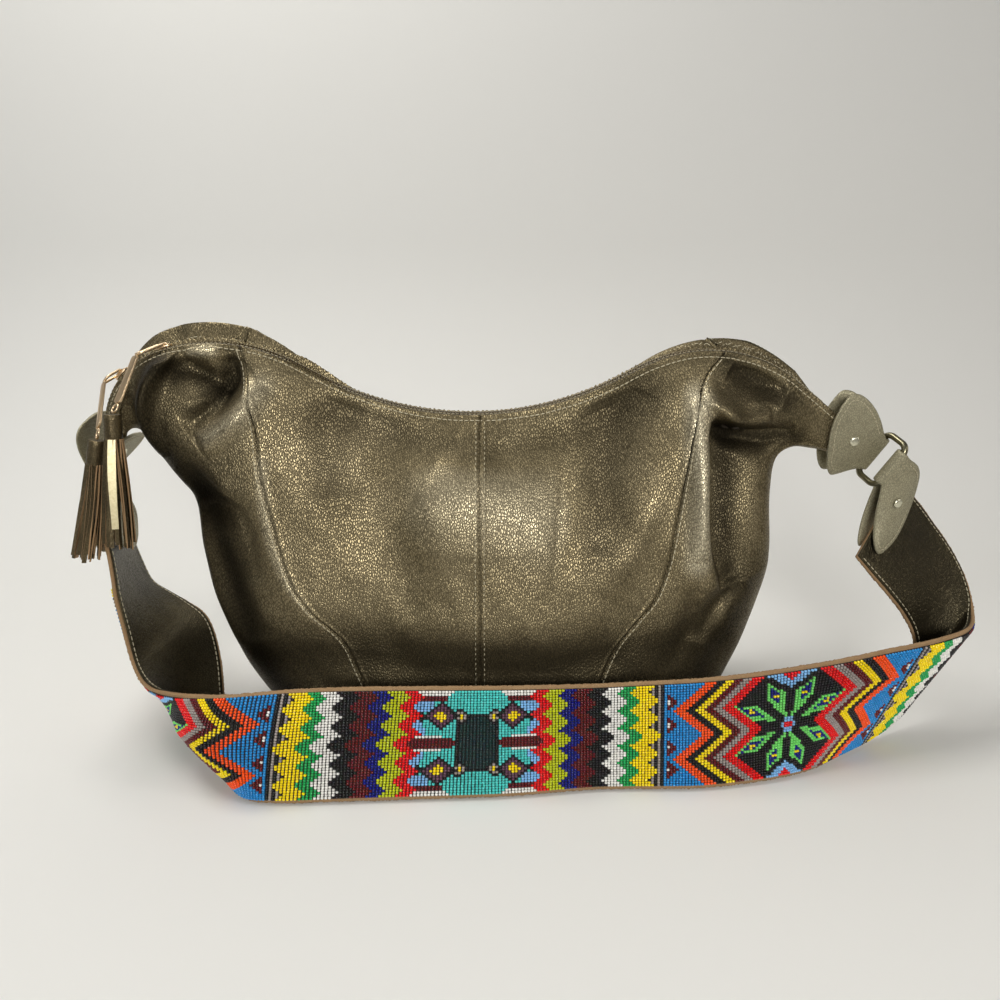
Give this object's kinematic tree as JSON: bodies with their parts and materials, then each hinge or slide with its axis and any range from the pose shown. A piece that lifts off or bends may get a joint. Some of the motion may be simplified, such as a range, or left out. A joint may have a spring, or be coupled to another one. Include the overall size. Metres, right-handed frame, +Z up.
{
  "type": "leather hobo bag",
  "caption": "Slouchy leather hobo bag with a saddle-shaped zipped mouth, tassel zip pulls, ringed tabs and a wide strap faced with bead weaving.",
  "frame": {"origin": "middle of the flat base, on the floor", "axes": "+X to the bag's right as seen from the front, -Y towards the front, +Z up"},
  "size_m": [0.5684, 0.1659, 0.2552],
  "materials": {
    "body_leather": "pebbled, pewter bronze sheen",
    "tab_leather": "matte grey green",
    "lining_cloth": "plain weave",
    "zip_tape": "woven tape",
    "zip_metal": "polished pale gold",
    "pull_metal": "polished light gold",
    "ring_metal": "antique nickel, satin",
    "rivet_metal": "satin",
    "tassel_leather": "smooth, dark bronze",
    "strap_leather": "smooth, dark bronze",
    "tan_leather": "raw edge",
    "beads": "opaque glass seed beads, gloss"
  },
  "bodies": {
    "bag": {"front_left_panel": "body_leather", "front_right_panel": "body_leather", "back_left_panel": "body_leather", "back_right_panel": "body_leather", "left_gusset": "body_leather", "right_gusset": "body_leather", "lining": "lining_cloth", "front_zip_tape": "zip_tape", "back_zip_tape": "zip_tape", "front_zip_teeth": "zip_metal", "back_zip_teeth": "zip_metal", "left_zip_stop": "zip_metal", "right_zip_stop": "zip_metal", "left_bag_tab": "tab_leather", "right_bag_tab": "tab_leather", "left_bag_rivet": "rivet_metal", "right_bag_rivet": "rivet_metal"},
    "strap": {"strap_core": "tan_leather", "strap_lining": "strap_leather", "strap_beadwork": "beads", "left_strap_tab": "tab_leather", "right_strap_tab": "tab_leather", "left_strap_rivet": "rivet_metal", "right_strap_rivet": "rivet_metal"},
    "left_ring": {"left_ring": "ring_metal"},
    "right_ring": {"right_ring": "ring_metal"},
    "slider_a": {"slider_a": "pull_metal"},
    "link_a": {"link_a": "pull_metal"},
    "bar_a": {"pull_bar_a": "pull_metal"},
    "tassel_a": {"jump_ring_a": "pull_metal", "tassel_head_a": "tassel_leather", "tassel_fringe_a": "tassel_leather"},
    "slider_b": {"slider_b": "pull_metal"},
    "link_b": {"link_b": "pull_metal"},
    "bar_b": {"pull_bar_b": "pull_metal"},
    "tassel_b": {"jump_ring_b": "pull_metal", "tassel_head_b": "tassel_leather", "tassel_fringe_b": "tassel_leather"}
  },
  "joints": [
    {"name": "strap_swing", "type": "hinge", "parent": "bag", "child": "strap", "pos_m": [0.23449, 0.00199, 0.1765], "axis": [-0.9998, -0.0041, -0.0216], "range_deg": [0, 70], "deforming": ["left_bag_tab", "right_bag_tab", "tassel_fringe_a", "tassel_fringe_b"]},
    {"name": "left_ring_turn", "type": "hinge", "parent": "strap", "child": "left_ring", "pos_m": [-0.25011, 0, 0.14803], "axis": [0, 1, 0], "range_deg": [-4, 8], "deforming": ["left_bag_tab"]},
    {"name": "right_ring_turn", "type": "hinge", "parent": "strap", "child": "right_ring", "pos_m": [0.24032, -0.0137, 0.16988], "axis": [0.4501, -0.2001, 0.8703], "range_deg": [0, 8], "deforming": ["right_bag_tab"]},
    {"name": "slider_a_run", "type": "hinge", "parent": "bag", "child": "slider_a", "pos_m": [-0.17343, 0, 0.14199], "axis": [0, 1, 0], "range_deg": [0, 40]},
    {"name": "link_a_swing", "type": "hinge", "parent": "slider_a", "child": "link_a", "pos_m": [-0.20345, 0, 0.24333], "axis": [-0.9588, 0, -0.284], "range_deg": [0, 75]},
    {"name": "bar_a_swing", "type": "hinge", "parent": "link_a", "child": "bar_a", "pos_m": [-0.21245, -0.016, 0.23883], "axis": [-0.9588, 0, -0.284], "range_deg": [-15, 60]},
    {"name": "tassel_a_swing", "type": "hinge", "parent": "bar_a", "child": "tassel_a", "pos_m": [-0.21845, -0.034, 0.21333], "axis": [-0.9588, 0, -0.284], "range_deg": [-15, 60]},
    {"name": "slider_b_run", "type": "hinge", "parent": "bag", "child": "slider_b", "pos_m": [-0.18952, 0, 0.18742], "axis": [0, 1, 0], "range_deg": [-7, 19]},
    {"name": "link_b_swing", "type": "hinge", "parent": "slider_b", "child": "link_b", "pos_m": [-0.23137, 0, 0.22686], "axis": [-0.6858, 0, -0.7278], "range_deg": [0, 75]},
    {"name": "bar_b_swing", "type": "hinge", "parent": "link_b", "child": "bar_b", "pos_m": [-0.23537, -0.013, 0.22286], "axis": [-0.6858, 0, -0.7278], "range_deg": [-3, 60]},
    {"name": "tassel_b_swing", "type": "hinge", "parent": "bar_b", "child": "tassel_b", "pos_m": [-0.23437, -0.029, 0.19786], "axis": [-0.6858, 0, -0.7278], "range_deg": [-5, 35]}
  ]
}
